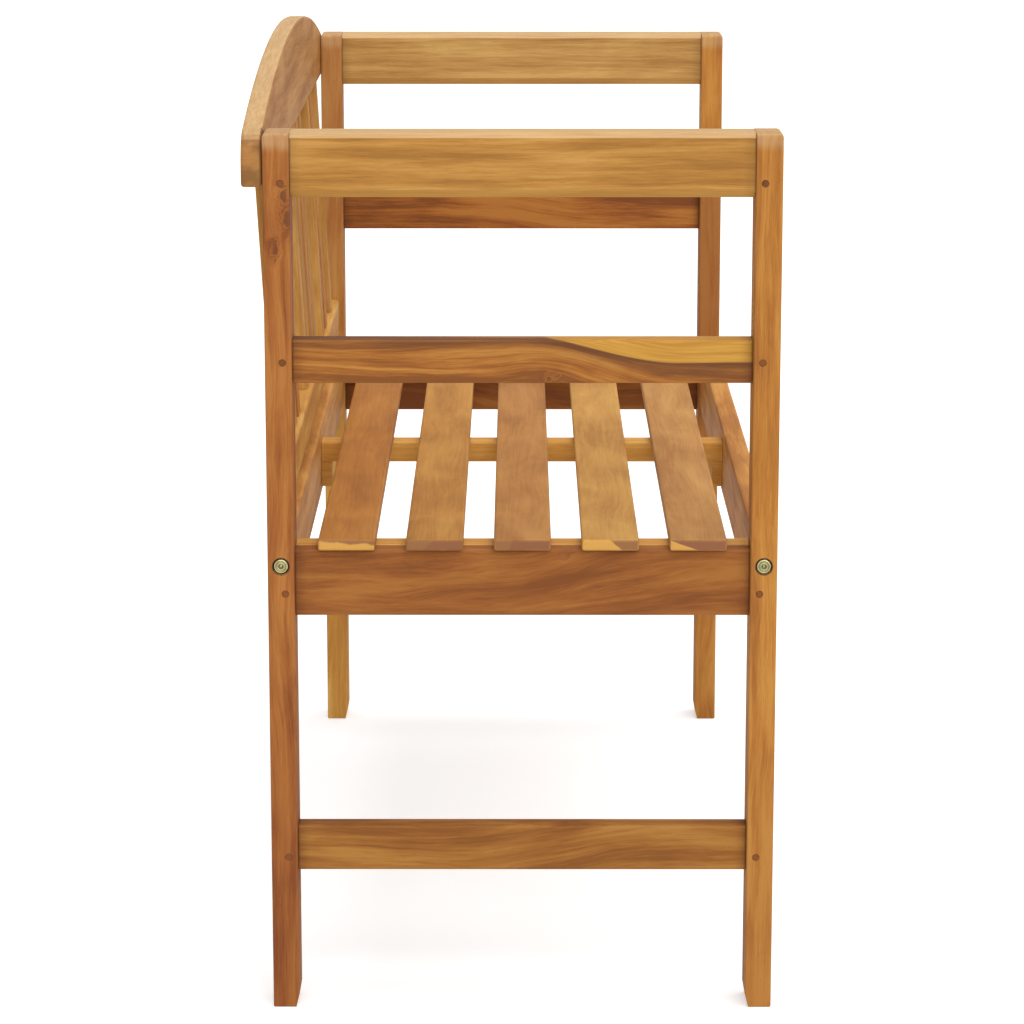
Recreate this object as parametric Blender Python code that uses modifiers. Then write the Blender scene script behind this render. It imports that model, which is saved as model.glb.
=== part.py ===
"""Wooden garden bench with an arched, slatted back.

Metres, +Z up. The bench's length runs along X and its front faces -Y. The origin is on the
ground, under the middle of the whole bench. "left" is the -X end.
Two end frames of posts and rails carry long seat rails, which are bolted through the posts.
The back's lower rail stands between the posts and its arched top rail is screwed to the posts'
backs, so the slats between them lean back.
"""
import math

import bmesh
import bpy

# The whole frame, measured over the posts.
FRAME_LENGTH = 1.120
FRAME_DEPTH = 0.494

# The air left between two pieces that touch, and the part of a joining block that is buried.
FIT = 0.0003
BURIED = 0.004
CUT_OVER = 0.002

# Posts.
POST_HEIGHT = 0.870
POST_THICK = 0.046
POST_WIDTH = 0.026
POST_EDGE_ROUND = 0.002
POST_TOP_ROUND = 0.0045
POST_JOINT_EASE = 0.0008
POST_FOOT_ROUND = 0.0015
FOOT_RELIEF_HEIGHT = 0.014
FOOT_RELIEF_DEPTH = 0.0035

# Arm rails. Their tops are level with the posts' tops.
ARM_HEIGHT = 0.062
ARM_THICK = 0.042
ARM_INSET = 0.001
ARM_TOP_CHAMFER = 0.005
ARM_UNDER_CHAMFER = 0.008
ARM_TENON_DROP = 0.014
ARM_TENON_HEIGHT = 0.040
ARM_PIN_UP = 0.014

# Mid rails, between the arm and the seat.
MID_BELOW_ARM = 0.1374
MID_HEIGHT = 0.0425
MID_THICK = 0.025
MID_INSET = 0.009
MID_TENON_DROP = 0.007
MID_TENON_HEIGHT = 0.028

# Seat side rails. The seat slats lie on them.
SIDE_HEIGHT = 0.0665
SIDE_THICK = 0.020
SIDE_INSET = 0.010
SIDE_TENON_DROP = 0.0275
SIDE_TENON_HEIGHT = 0.030

# Lower stretchers.
STRETCHER_TOP = 0.1855
STRETCHER_HEIGHT = 0.046
STRETCHER_THICK = 0.025
STRETCHER_INSET = 0.009
STRETCHER_TENON_DROP = 0.019
STRETCHER_TENON_HEIGHT = 0.022

# What every end-frame rail shares.
RAIL_ROUND = 0.003
TENON_LENGTH = 0.0145
TENON_THICK = 0.010
MORTISE_SPARE = 0.001
PIN_RADIUS = 0.0033
PIN_LENGTH = 0.031
PIN_SETBACK = 0.0002
PIN_FROM_SHOULDER = 0.009
PIN_SIDES = 16

# Seat.
SEAT_TOP = 0.4765
SEAT_SLAT_COUNT = 5
SEAT_SLAT_WIDTH = 0.0555
SEAT_SLAT_SPACE = 0.0297
SEAT_SLAT_THICK = 0.0115
SEAT_SLAT_ROUND = 0.0025
CLEAT_WIDTH = 0.030
CLEAT_HEIGHT = 0.0225
BATTEN_WIDTH = 0.029
BATTEN_HEIGHT = 0.0225
BATTEN_ROUND = 0.002
BLOCK_DEPTH = 0.011
BLOCK_HEIGHT = 0.028

# Long seat rails, front and back, and the bolts that hold them.
LONG_RAIL_TOP = 0.480
LONG_RAIL_HEIGHT = 0.074
LONG_RAIL_THICK = 0.022
LONG_TENON_LENGTH = 0.008
LONG_TENON_THICK = 0.012
LONG_TENON_SHOULDER = 0.010
BOLT_ABOVE_MIDDLE = 0.0065
BOLT_RADIUS = 0.003
BOLT_REACH = 0.043
BOLT_HOLE_SPARE = 0.0005
HEAD_RADIUS = 0.0072
HEAD_HEIGHT = 0.0032
HEAD_EASE = 0.0009
HEAD_BELOW_FACE = 0.0004
HEAD_SEAT_SPARE = 0.0009
SOCKET_ACROSS_CORNERS = 0.0058
SOCKET_DEPTH = 0.0022
ROUND_SIDES = 24
NUT_RADIUS = 0.005
NUT_LENGTH = 0.018
NUT_FROM_POST = 0.034

# Back: the lower rail stands between the posts, level with their backs.
LOWER_BACK_SPACE = 0.018
LOWER_BACK_HEIGHT = 0.043
LOWER_BACK_THICK = 0.019
LOWER_BACK_INSET = 0.0005
LOWER_BACK_SHOULDER = 0.007

# Back slats. They lean, because the top rail stands further back than the lower rail.
BACK_SLAT_WIDTH = 0.036
BACK_SLAT_THICK = 0.014
BACK_SLAT_ROUND = 0.002
BACK_SLAT_BEHIND_FACE = 0.0012
SLAT_FOOT_BACKWARD = 0.0025
BACK_TENON_LENGTH = 0.012
BACK_TENON_SHOULDER = 0.004
BACK_TENON_THICK = 0.008
CENTRE_SLAT_COUNT = 4
PAIR_SLAT_COUNT = 2
SLAT_SPACE = 0.024
POST_TO_END_SLAT = 0.068
END_SLAT_TO_PAIR = 0.082

# Arched top rail, screwed to the posts' backs.
TOP_RAIL_THICK = 0.0200
TOP_RAIL_END_HEIGHT = 0.0478
TOP_RAIL_BELOW_POST_TOP = 0.0515
ARCH_RISE = 0.0592
ARCH_STEPS = 36
TOP_CORNER_ROUND = 0.034
CORNER_STEPS = 7
TOP_RAIL_ROUND = 0.003
SCREW_ABOVE_EDGE = 0.026
SCREW_RADIUS = 0.0025
SCREW_IN_POST = 0.016
SCREW_HEAD_RADIUS = 0.005
SCREW_HEAD_HEIGHT = 0.002
SCREW_HEAD_SINK = 0.0025

# Colours, as linear red, green, blue.
POST_BROWN = (0.50, 0.22, 0.065)
ARM_BROWN = (0.56, 0.28, 0.09)
RAIL_BROWN = (0.40, 0.16, 0.05)
SEAT_HONEY = (0.60, 0.34, 0.13)
BACK_HONEY = (0.56, 0.32, 0.12)
BACK_BROWN = (0.34, 0.15, 0.055)
PIN_BROWN = (0.38, 0.18, 0.07)
ZINC_YELLOW = (0.78, 0.62, 0.32)
STEEL_GREY = (0.55, 0.55, 0.54)

# Places that follow from the sizes above.
HALF_LENGTH = FRAME_LENGTH / 2
POST_X = HALF_LENGTH - POST_THICK / 2
INNER_X = HALF_LENGTH - POST_THICK
ARM_UNDERSIDE = POST_HEIGHT - ARM_HEIGHT
LOWER_BACK_TOP = LONG_RAIL_TOP + LOWER_BACK_SPACE + LOWER_BACK_HEIGHT
TOP_RAIL_BOTTOM = POST_HEIGHT - TOP_RAIL_BELOW_POST_TOP
TOTAL_DEPTH = FRAME_DEPTH + FIT + TOP_RAIL_THICK
FRONT_POST_Y = (POST_WIDTH - TOTAL_DEPTH) / 2
BACK_POST_Y = FRONT_POST_Y + FRAME_DEPTH - POST_WIDTH
BACK_FACE_Y = BACK_POST_Y + POST_WIDTH / 2
LOWER_BACK_Y = BACK_FACE_Y - LOWER_BACK_INSET - LOWER_BACK_THICK / 2
TOP_RAIL_Y = BACK_FACE_Y + FIT + TOP_RAIL_THICK / 2
SLAT_FOOT_Y = LOWER_BACK_Y + SLAT_FOOT_BACKWARD
SLAT_TOP_Y = BACK_FACE_Y + FIT + BACK_SLAT_BEHIND_FACE + BACK_SLAT_THICK / 2
LEAN = math.atan2(SLAT_TOP_Y - SLAT_FOOT_Y, TOP_RAIL_BOTTOM - LOWER_BACK_TOP)
POST_Y = {"front": FRONT_POST_Y, "back": BACK_POST_Y}
MIDDLE_Y = (FRONT_POST_Y + BACK_POST_Y) / 2
SHOULDER_SPAN = FRAME_DEPTH - 2 * POST_WIDTH
SUPPORT_TOP = SEAT_TOP - SEAT_SLAT_THICK - FIT
LONG_RAIL_MIDDLE = LONG_RAIL_TOP - LONG_RAIL_HEIGHT / 2
BOLT_Z = LONG_RAIL_MIDDLE + BOLT_ABOVE_MIDDLE
SIDES = {"left": -1, "right": 1}
BOTH = ("front", "back")


def clear_scene():
    for old in list(bpy.data.objects):
        bpy.data.objects.remove(old, do_unlink=True)


def new_collection(name):
    made = bpy.data.collections.new(name)
    bpy.context.scene.collection.children.link(made)
    return made


def paint(obj, colour, roughness=0.55, metallic=0.0):
    """Give a piece its own material."""
    made = bpy.data.materials.new(obj.name)
    made.use_nodes = True
    made.diffuse_color = (*colour, 1.0)
    shader = made.node_tree.nodes["Principled BSDF"]
    shader.inputs["Base Color"].default_value = (*colour, 1.0)
    shader.inputs["Roughness"].default_value = roughness
    shader.inputs["Metallic"].default_value = metallic
    obj.data.materials.append(made)


def place(name, form, at, parent=None, tool=False):
    """Turn a bmesh into an object. A tool cuts or joins and is never a piece itself."""
    bmesh.ops.recalc_face_normals(form, faces=form.faces)
    mesh = bpy.data.meshes.new(name)
    form.to_mesh(mesh)
    form.free()
    obj = bpy.data.objects.new(name, mesh)
    (tools if tool else bench).objects.link(obj)
    if tool:
        obj.hide_render = True
        obj.display_type = "WIRE"
    obj.parent = parent
    obj.location = at
    return obj


def box(name, size, at, parent=None, tool=False):
    form = bmesh.new()
    bmesh.ops.create_cube(form, size=1.0)
    bmesh.ops.scale(form, vec=size, verts=form.verts)
    return place(name, form, at, parent, tool)


def rod(name, radius, length, axis, at, sides, parent=None, tool=False):
    """A cylinder whose middle is at the given point."""
    form = bmesh.new()
    bmesh.ops.create_cone(
        form, cap_ends=True, segments=sides, radius1=radius, radius2=radius, depth=length
    )
    obj = place(name, form, at, parent, tool)
    if axis == "X":
        obj.rotation_euler.y = math.pi / 2
    if axis == "Y":
        obj.rotation_euler.x = math.pi / 2
    obj.data.shade_smooth()
    obj.data.set_sharp_from_angle(angle=math.radians(40))
    return obj


def round_edges(obj, radius, steps=2):
    """Round every edge of a piece."""
    bevel = obj.modifiers.new("rounded edges", "BEVEL")
    bevel.width = radius
    bevel.segments = steps
    bevel.limit_method = "ANGLE"


def round_by(obj, radius_of, most, steps):
    """Round each edge by the radius that its direction and its middle call for."""
    mesh = obj.data
    weights = mesh.attributes.new("bevel_weight_edge", "FLOAT", "EDGE")
    for edge in mesh.edges:
        first = mesh.vertices[edge.vertices[0]].co
        second = mesh.vertices[edge.vertices[1]].co
        along = (second - first).normalized()
        weights.data[edge.index].value = radius_of(along, (first + second) / 2) / most
    bevel = obj.modifiers.new("rounded edges", "BEVEL")
    bevel.width = most
    bevel.segments = steps
    bevel.limit_method = "WEIGHT"


def round_long_edges(obj, axis, top_radius, under_radius, steps=2):
    """Round only the edges that run along one axis, so that the shoulders stay tight."""

    def radius_of(along, middle):
        if abs(along[axis]) < 0.9:
            return 0.0
        return top_radius if middle.z > 0 else under_radius

    round_by(obj, radius_of, max(top_radius, under_radius), steps)


def join(piece, tool):
    union = piece.modifiers.new("join " + tool.name, "BOOLEAN")
    union.operation = "UNION"
    union.solver = "EXACT"
    union.object = tool


def cut(piece, tool):
    difference = piece.modifiers.new("cut " + tool.name, "BOOLEAN")
    difference.operation = "DIFFERENCE"
    difference.solver = "EXACT"
    difference.object = tool


def tenon(rail, post, axis, outward, shoulder, size, parent=None):
    """Add a tenon to one end of a rail and cut its mortise in the post.

    shoulder is the middle of the tenon's root; size is its length, and its two other sizes in
    the order of the remaining axes.
    """
    length = size[0]
    others = list(size[1:])

    def block(label, reach, back, grow):
        extent = [other + 2 * grow for other in others]
        extent.insert(axis, reach + back)
        middle = list(shoulder)
        middle[axis] += outward * (reach - back) / 2
        return box(rail.name + label + post.name, extent, middle, parent, tool=True)

    join(rail, block("_tenon_in_", length, BURIED, 0.0))
    cut(post, block("_mortise_in_", length + MORTISE_SPARE, CUT_OVER, FIT))


def build_post(end, side, place_name):
    """A post: its top is rounded except where the arm meets it, and its foot is relieved."""
    y = POST_Y[place_name]
    inward = 1 if place_name == "front" else -1
    post = box(
        f"post_{place_name}_{end}",
        (POST_THICK, POST_WIDTH, POST_HEIGHT),
        (side * POST_X, y, POST_HEIGHT / 2),
    )

    def radius_of(along, middle):
        if abs(along.z) > 0.9:
            return POST_EDGE_ROUND
        if middle.z < 0:
            return POST_FOOT_ROUND
        faces_arm = abs(along.x) > 0.9 and middle.y * inward > 0
        return POST_JOINT_EASE if faces_arm else POST_TOP_ROUND

    round_by(post, radius_of, POST_TOP_ROUND, steps=3)
    form = bmesh.new()
    bmesh.ops.create_cube(form, size=1.0)
    bmesh.ops.translate(form, vec=(0.0, inward * 0.5, 0.0), verts=form.verts)
    bmesh.ops.scale(form, vec=(2 * POST_THICK, POST_WIDTH, 4 * FOOT_RELIEF_HEIGHT),
                    verts=form.verts)
    relief = place(f"foot_relief_{place_name}_{end}", form,
                   (side * POST_X, y + inward * (POST_WIDTH / 2 - FOOT_RELIEF_DEPTH), 0.0),
                   tool=True)
    relief.rotation_euler.x = -inward * math.atan2(FOOT_RELIEF_DEPTH, FOOT_RELIEF_HEIGHT)
    cut(post, relief)
    paint(post, POST_BROWN)
    return post


def pin(name, side, y, z, post, rail):
    """A wooden pin from the post's outer face through the rail's tenon."""
    inner_end = side * (HALF_LENGTH - PIN_LENGTH)
    outer_end = side * (HALF_LENGTH - PIN_SETBACK)
    made = rod(
        name,
        PIN_RADIUS,
        abs(outer_end - inner_end),
        "X",
        ((inner_end + outer_end) / 2, y, z),
        PIN_SIDES,
    )
    paint(made, PIN_BROWN)
    hole_inner = side * (HALF_LENGTH - PIN_LENGTH - FIT)
    hole_outer = side * (HALF_LENGTH + CUT_OVER)
    hole = rod(
        name + "_hole",
        PIN_RADIUS + FIT,
        abs(hole_outer - hole_inner),
        "X",
        ((hole_inner + hole_outer) / 2, y, z),
        PIN_SIDES,
        tool=True,
    )
    cut(post, hole)
    cut(rail, hole)


def end_rail(name, end, side, posts, top, height, thick, inset, drop, tenon_height, pins, pin_z,
             rounds, colour):
    """One rail between a front and a back post, with its tenons, mortises and pins."""
    x = side * (HALF_LENGTH - inset - thick / 2)
    rail = box(
        f"{name}_{end}",
        (thick, SHOULDER_SPAN - 2 * FIT, height),
        (x, MIDDLE_Y, top - height / 2),
    )
    round_long_edges(rail, 1, rounds[0], rounds[1], steps=rounds[2])
    paint(rail, colour)
    tenon_z = top - drop - tenon_height / 2
    for place_name, outward in (("front", -1), ("back", 1)):
        shoulder = (x, MIDDLE_Y + outward * SHOULDER_SPAN / 2, tenon_z)
        size = (TENON_LENGTH, TENON_THICK, tenon_height)
        tenon(rail, posts[place_name], 1, outward, shoulder, size)
        if place_name in pins:
            y = shoulder[1] + outward * PIN_FROM_SHOULDER
            pin(f"pin_{name}_{place_name}_{end}", side, y, pin_z, posts[place_name], rail)
    return rail


def build_end_frame(end, side):
    """Two posts with the arm, mid rail, seat side rail and stretcher between them."""
    mid_top = ARM_UNDERSIDE - MID_BELOW_ARM
    posts = {name: build_post(end, side, name) for name in ("front", "back")}
    plain = (RAIL_ROUND, RAIL_ROUND, 2)
    arm = end_rail("arm_rail", end, side, posts, POST_HEIGHT, ARM_HEIGHT, ARM_THICK, ARM_INSET,
                   ARM_TENON_DROP, ARM_TENON_HEIGHT, BOTH, ARM_UNDERSIDE + ARM_PIN_UP,
                   (ARM_TOP_CHAMFER, ARM_UNDER_CHAMFER, 1), ARM_BROWN)
    end_rail("mid_rail", end, side, posts, mid_top, MID_HEIGHT, MID_THICK, MID_INSET,
             MID_TENON_DROP, MID_TENON_HEIGHT, BOTH,
             mid_top - MID_TENON_DROP - MID_TENON_HEIGHT / 2, plain, RAIL_BROWN)
    end_rail("seat_side_rail", end, side, posts, SUPPORT_TOP, SIDE_HEIGHT, SIDE_THICK,
             SIDE_INSET, SIDE_TENON_DROP, SIDE_TENON_HEIGHT, BOTH,
             SUPPORT_TOP - SIDE_TENON_DROP - SIDE_TENON_HEIGHT / 2, plain, RAIL_BROWN)
    end_rail("stretcher", end, side, posts, STRETCHER_TOP, STRETCHER_HEIGHT, STRETCHER_THICK,
             STRETCHER_INSET, STRETCHER_TENON_DROP, STRETCHER_TENON_HEIGHT, BOTH,
             STRETCHER_TOP - STRETCHER_TENON_DROP - STRETCHER_TENON_HEIGHT / 2, plain,
             RAIL_BROWN)
    return {**posts, "arm": arm}


def build_bolt(name, side, y):
    """A flat-topped bolt: half its outline is turned round, then the socket is cut."""
    form = bmesh.new()
    end_depth = POST_THICK + BOLT_REACH
    under_head = HEAD_BELOW_FACE + HEAD_HEIGHT
    outline = [
        (0.0, -end_depth),
        (BOLT_RADIUS, -end_depth),
        (BOLT_RADIUS, -under_head),
        (HEAD_RADIUS, -under_head),
        (HEAD_RADIUS, -HEAD_BELOW_FACE - HEAD_EASE),
        (HEAD_RADIUS - HEAD_EASE, -HEAD_BELOW_FACE),
        (0.0, -HEAD_BELOW_FACE),
    ]
    points = [form.verts.new((across, 0.0, along)) for across, along in outline]
    for first, second in zip(points, points[1:]):
        form.edges.new((first, second))
    bolt = place(name, form, (side * HALF_LENGTH, y, BOLT_Z))
    bolt.rotation_euler.y = side * math.pi / 2
    turned = bolt.modifiers.new("turned", "SCREW")
    turned.axis = "Z"
    turned.steps = ROUND_SIDES
    turned.render_steps = ROUND_SIDES
    turned.use_merge_vertices = True
    turned.merge_threshold = 0.00001
    turned.use_smooth_shade = True
    socket = rod(
        name + "_socket",
        SOCKET_ACROSS_CORNERS / 2,
        2 * SOCKET_DEPTH,
        "X",
        (side * (HALF_LENGTH - HEAD_BELOW_FACE), y, BOLT_Z),
        6,
        tool=True,
    )
    cut(bolt, socket)
    paint(bolt, ZINC_YELLOW, 0.35, 1.0)
    return bolt


def bolt_rail(rail, post, end, side, place_name):
    """Bolt one end of a long rail through the post into a barrel nut."""
    y = POST_Y[place_name]
    build_bolt(f"bolt_{place_name}_{end}", side, y)
    reach = POST_THICK + BOLT_REACH + MORTISE_SPARE
    hole = rod(
        f"bolt_{place_name}_{end}_hole",
        BOLT_RADIUS + BOLT_HOLE_SPARE,
        reach + CUT_OVER,
        "X",
        (side * (HALF_LENGTH + (CUT_OVER - reach) / 2), y, BOLT_Z),
        ROUND_SIDES,
        tool=True,
    )
    cut(post, hole)
    cut(rail, hole)
    seat_depth = HEAD_BELOW_FACE + HEAD_HEIGHT + FIT
    head_seat = rod(
        f"bolt_{place_name}_{end}_seat",
        HEAD_RADIUS + HEAD_SEAT_SPARE,
        seat_depth + CUT_OVER,
        "X",
        (side * (HALF_LENGTH + (CUT_OVER - seat_depth) / 2), y, BOLT_Z),
        ROUND_SIDES,
        tool=True,
    )
    cut(post, head_seat)
    inward = 1 if place_name == "front" else -1
    face_y = y + inward * LONG_RAIL_THICK / 2
    nut_x = side * (INNER_X - NUT_FROM_POST)
    nut_y = face_y - inward * NUT_LENGTH / 2
    nut = rod(f"barrel_nut_{place_name}_{end}", NUT_RADIUS, NUT_LENGTH, "Y",
              (nut_x, nut_y, BOLT_Z), ROUND_SIDES)
    paint(nut, STEEL_GREY, 0.4, 1.0)
    cut(nut, hole)
    seat_length = NUT_LENGTH + CUT_OVER + FIT
    seat = rod(
        f"barrel_nut_{place_name}_{end}_hole",
        NUT_RADIUS + FIT,
        seat_length,
        "Y",
        (nut_x, face_y + inward * (CUT_OVER - seat_length / 2), BOLT_Z),
        ROUND_SIDES,
        tool=True,
    )
    cut(rail, seat)


def build_long_rail(place_name, frames):
    """Front or back seat rail, stub-tenoned into the posts and bolted."""
    y = POST_Y[place_name]
    rail = box(
        f"seat_rail_{place_name}",
        (2 * (INNER_X - FIT), LONG_RAIL_THICK, LONG_RAIL_HEIGHT),
        (0.0, y, LONG_RAIL_MIDDLE),
    )
    round_long_edges(rail, 0, RAIL_ROUND, RAIL_ROUND)
    paint(rail, RAIL_BROWN)
    for end, side in SIDES.items():
        post = frames[end][place_name]
        size = (LONG_TENON_LENGTH, LONG_TENON_THICK,
                LONG_RAIL_HEIGHT - 2 * LONG_TENON_SHOULDER)
        tenon(rail, post, 0, side, (side * INNER_X, y, LONG_RAIL_MIDDLE), size)
        bolt_rail(rail, post, end, side, place_name)
    return rail


def build_seat():
    """Cleats, the centre batten with the blocks glued under its ends, and the slats."""
    inner_front = FRONT_POST_Y + LONG_RAIL_THICK / 2 + FIT
    inner_back = BACK_POST_Y - LONG_RAIL_THICK / 2 - FIT
    for end, side in SIDES.items():
        x = side * (HALF_LENGTH - SIDE_INSET - SIDE_THICK - FIT - CLEAT_WIDTH / 2)
        cleat = box(
            f"seat_cleat_{end}",
            (CLEAT_WIDTH, SHOULDER_SPAN - 2 * FIT, CLEAT_HEIGHT),
            (x, MIDDLE_Y, SUPPORT_TOP - CLEAT_HEIGHT / 2),
        )
        round_long_edges(cleat, 1, BATTEN_ROUND, BATTEN_ROUND)
        paint(cleat, RAIL_BROWN)
    batten = box(
        "seat_batten",
        (BATTEN_WIDTH, inner_back - inner_front, BATTEN_HEIGHT),
        (0.0, MIDDLE_Y, SUPPORT_TOP - BATTEN_HEIGHT / 2),
    )
    round_long_edges(batten, 1, BATTEN_ROUND, BATTEN_ROUND)
    paint(batten, SEAT_HONEY)
    for place_name, y in (("front", inner_front + BLOCK_DEPTH / 2),
                          ("back", inner_back - BLOCK_DEPTH / 2)):
        block = box(
            f"batten_block_{place_name}",
            (BATTEN_WIDTH - 2 * BATTEN_ROUND, BLOCK_DEPTH, BLOCK_HEIGHT + BURIED),
            (0.0, y, SUPPORT_TOP - BATTEN_HEIGHT - (BLOCK_HEIGHT - BURIED) / 2),
            tool=True,
        )
        join(batten, block)
    pitch = SEAT_SLAT_WIDTH + SEAT_SLAT_SPACE
    for number in range(SEAT_SLAT_COUNT):
        slat = box(
            f"seat_slat_{number + 1}",
            (FRAME_LENGTH, SEAT_SLAT_WIDTH, SEAT_SLAT_THICK),
            (
                0.0,
                MIDDLE_Y + (number - (SEAT_SLAT_COUNT - 1) / 2) * pitch,
                SEAT_TOP - SEAT_SLAT_THICK / 2,
            ),
        )
        round_edges(slat, SEAT_SLAT_ROUND)
        paint(slat, SEAT_HONEY)


def arched_outline():
    """Corner points of the top rail's face: straight below, one arc above, from its middle."""
    radius = (HALF_LENGTH ** 2 + ARCH_RISE ** 2) / (2 * ARCH_RISE)
    centre_up = TOP_RAIL_END_HEIGHT + ARCH_RISE - radius
    reach = radius - TOP_CORNER_ROUND
    corner_x = HALF_LENGTH - TOP_CORNER_ROUND
    corner_up = centre_up + math.sqrt(reach ** 2 - corner_x ** 2)
    tilt = math.asin(corner_x / reach)
    right = [(HALF_LENGTH, 0.0)]
    for step in range(CORNER_STEPS + 1):
        turn = (math.pi / 2 - tilt) * step / CORNER_STEPS
        right.append((corner_x + TOP_CORNER_ROUND * math.cos(turn),
                      corner_up + TOP_CORNER_ROUND * math.sin(turn)))
    crown = []
    for step in range(1, ARCH_STEPS):
        angle = tilt * (1 - 2 * step / ARCH_STEPS)
        crown.append((radius * math.sin(angle), centre_up + radius * math.cos(angle)))
    left = [(-x, up) for x, up in reversed(right)]
    return right + crown + left


def build_top_rail():
    """The arched outline is a filled curve with thickness and rounded edges."""
    curve = bpy.data.curves.new("top_rail_outline", "CURVE")
    curve.dimensions = "2D"
    curve.fill_mode = "BOTH"
    curve.bevel_depth = TOP_RAIL_ROUND
    curve.bevel_resolution = 1
    curve.extrude = TOP_RAIL_THICK / 2 - TOP_RAIL_ROUND
    curve.offset = -TOP_RAIL_ROUND
    spline = curve.splines.new("POLY")
    outline = arched_outline()
    spline.points.add(len(outline) - 1)
    for point, (x, up) in zip(spline.points, outline):
        point.co = (x, up, 0.0, 1.0)
    spline.use_cyclic_u = True
    guide = bpy.data.objects.new("top_rail_outline", curve)
    tools.objects.link(guide)
    guide.hide_render = True
    bpy.context.view_layer.update()
    flat = bpy.data.meshes.new_from_object(
        guide.evaluated_get(bpy.context.evaluated_depsgraph_get())
    )
    form = bmesh.new()
    form.from_mesh(flat)
    bmesh.ops.remove_doubles(form, verts=form.verts, dist=0.00001)
    # The outline was drawn lying down, so it is stood up on its long edge.
    for vert in form.verts:
        vert.co = (vert.co.x, -vert.co.z, vert.co.y)
    bpy.data.meshes.remove(flat)
    rail = place("back_top_rail", form, (0.0, TOP_RAIL_Y, TOP_RAIL_BOTTOM))
    paint(rail, POST_BROWN)
    return rail


def slat_places():
    """Middles of the back slats, from one end of the back to the other."""
    pitch = BACK_SLAT_WIDTH + SLAT_SPACE
    end_x = INNER_X - POST_TO_END_SLAT - BACK_SLAT_WIDTH / 2
    pair_x = end_x - END_SLAT_TO_PAIR - BACK_SLAT_WIDTH
    right = [end_x]
    right += [pair_x - number * pitch for number in range(PAIR_SLAT_COUNT)]
    centre = [(number - (CENTRE_SLAT_COUNT - 1) / 2) * pitch
              for number in range(CENTRE_SLAT_COUNT)]
    return sorted([-x for x in right] + centre + right)


def leaning_box(name, size, lean_frame, along, tool):
    """A box in the slats' leaning frame, whose own origin is where the slats leave the rail."""
    return box(name, size, (0.0, 0.0, along), lean_frame, tool)


def back_slat(number, x, trims, lower_rail, top_rail):
    """A slat with level shoulders, and one tenon that runs on into both rails."""
    name = f"back_slat_{number:02d}"
    lean_frame = bpy.data.objects.new(name + "_lean", None)
    bench.objects.link(lean_frame)
    lean_frame.location = (x, SLAT_FOOT_Y, LOWER_BACK_TOP)
    lean_frame.rotation_euler.x = -LEAN
    clear = (TOP_RAIL_BOTTOM - LOWER_BACK_TOP) / math.cos(LEAN)
    middle = clear / 2
    over = 2 * BACK_TENON_LENGTH
    slat = leaning_box(name, (BACK_SLAT_WIDTH, BACK_SLAT_THICK, clear + over), lean_frame,
                       middle, False)
    round_long_edges(slat, 2, BACK_SLAT_ROUND, BACK_SLAT_ROUND)
    paint(slat, BACK_BROWN if number in (5, 6) else BACK_HONEY)
    for trim in trims:
        cut(slat, trim)
    tenon_width = BACK_SLAT_WIDTH - 2 * BACK_TENON_SHOULDER
    core = leaning_box(name + "_tenon", (tenon_width, BACK_TENON_THICK, clear + over),
                       lean_frame, middle, True)
    join(slat, core)
    hole = leaning_box(
        name + "_mortise",
        (tenon_width + 2 * FIT, BACK_TENON_THICK + 2 * FIT,
         clear + over + 2 * MORTISE_SPARE),
        lean_frame, middle, True,
    )
    cut(lower_rail, hole)
    cut(top_rail, hole)


def slat_trims():
    """Two level boxes that cut the slats' shoulders to the rails' edges."""
    reach = 4 * BACK_TENON_LENGTH
    size = (FRAME_LENGTH, 4 * LOWER_BACK_THICK, reach)
    below = box("slat_trim_below", size,
                (0.0, LOWER_BACK_Y, LOWER_BACK_TOP + FIT - reach / 2), tool=True)
    above = box("slat_trim_above", size,
                (0.0, TOP_RAIL_Y, TOP_RAIL_BOTTOM - FIT + reach / 2), tool=True)
    return below, above


def build_top_screw(end, side, drilled):
    """A flat-headed screw from the rail's back through the post into the arm's tenon."""
    x = side * POST_X
    face_y = TOP_RAIL_Y + TOP_RAIL_THICK / 2
    z = TOP_RAIL_BOTTOM + SCREW_ABOVE_EDGE
    head_y = face_y - SCREW_HEAD_SINK + SCREW_HEAD_HEIGHT / 2
    screw = rod(f"top_rail_screw_{end}", SCREW_HEAD_RADIUS, SCREW_HEAD_HEIGHT, "Y",
                (x, head_y, z), PIN_SIDES)
    length = TOP_RAIL_THICK + SCREW_IN_POST
    shank = rod(f"top_rail_shank_{end}", SCREW_RADIUS, length, "Y",
                (x, head_y - length / 2, z), PIN_SIDES, tool=True)
    join(screw, shank)
    paint(screw, ZINC_YELLOW, 0.35, 1.0)
    hole = rod(f"top_rail_hole_{end}", SCREW_RADIUS + FIT, length + 2 * MORTISE_SPARE, "Y",
               (x, head_y - length / 2, z), PIN_SIDES, tool=True)
    seat = rod(f"top_rail_seat_{end}", SCREW_HEAD_RADIUS + FIT, SCREW_HEAD_SINK + CUT_OVER,
               "Y", (x, face_y + (CUT_OVER - SCREW_HEAD_SINK) / 2 - FIT, z), PIN_SIDES,
               tool=True)
    for piece in drilled:
        cut(piece, hole)
    cut(drilled[0], seat)


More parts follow.
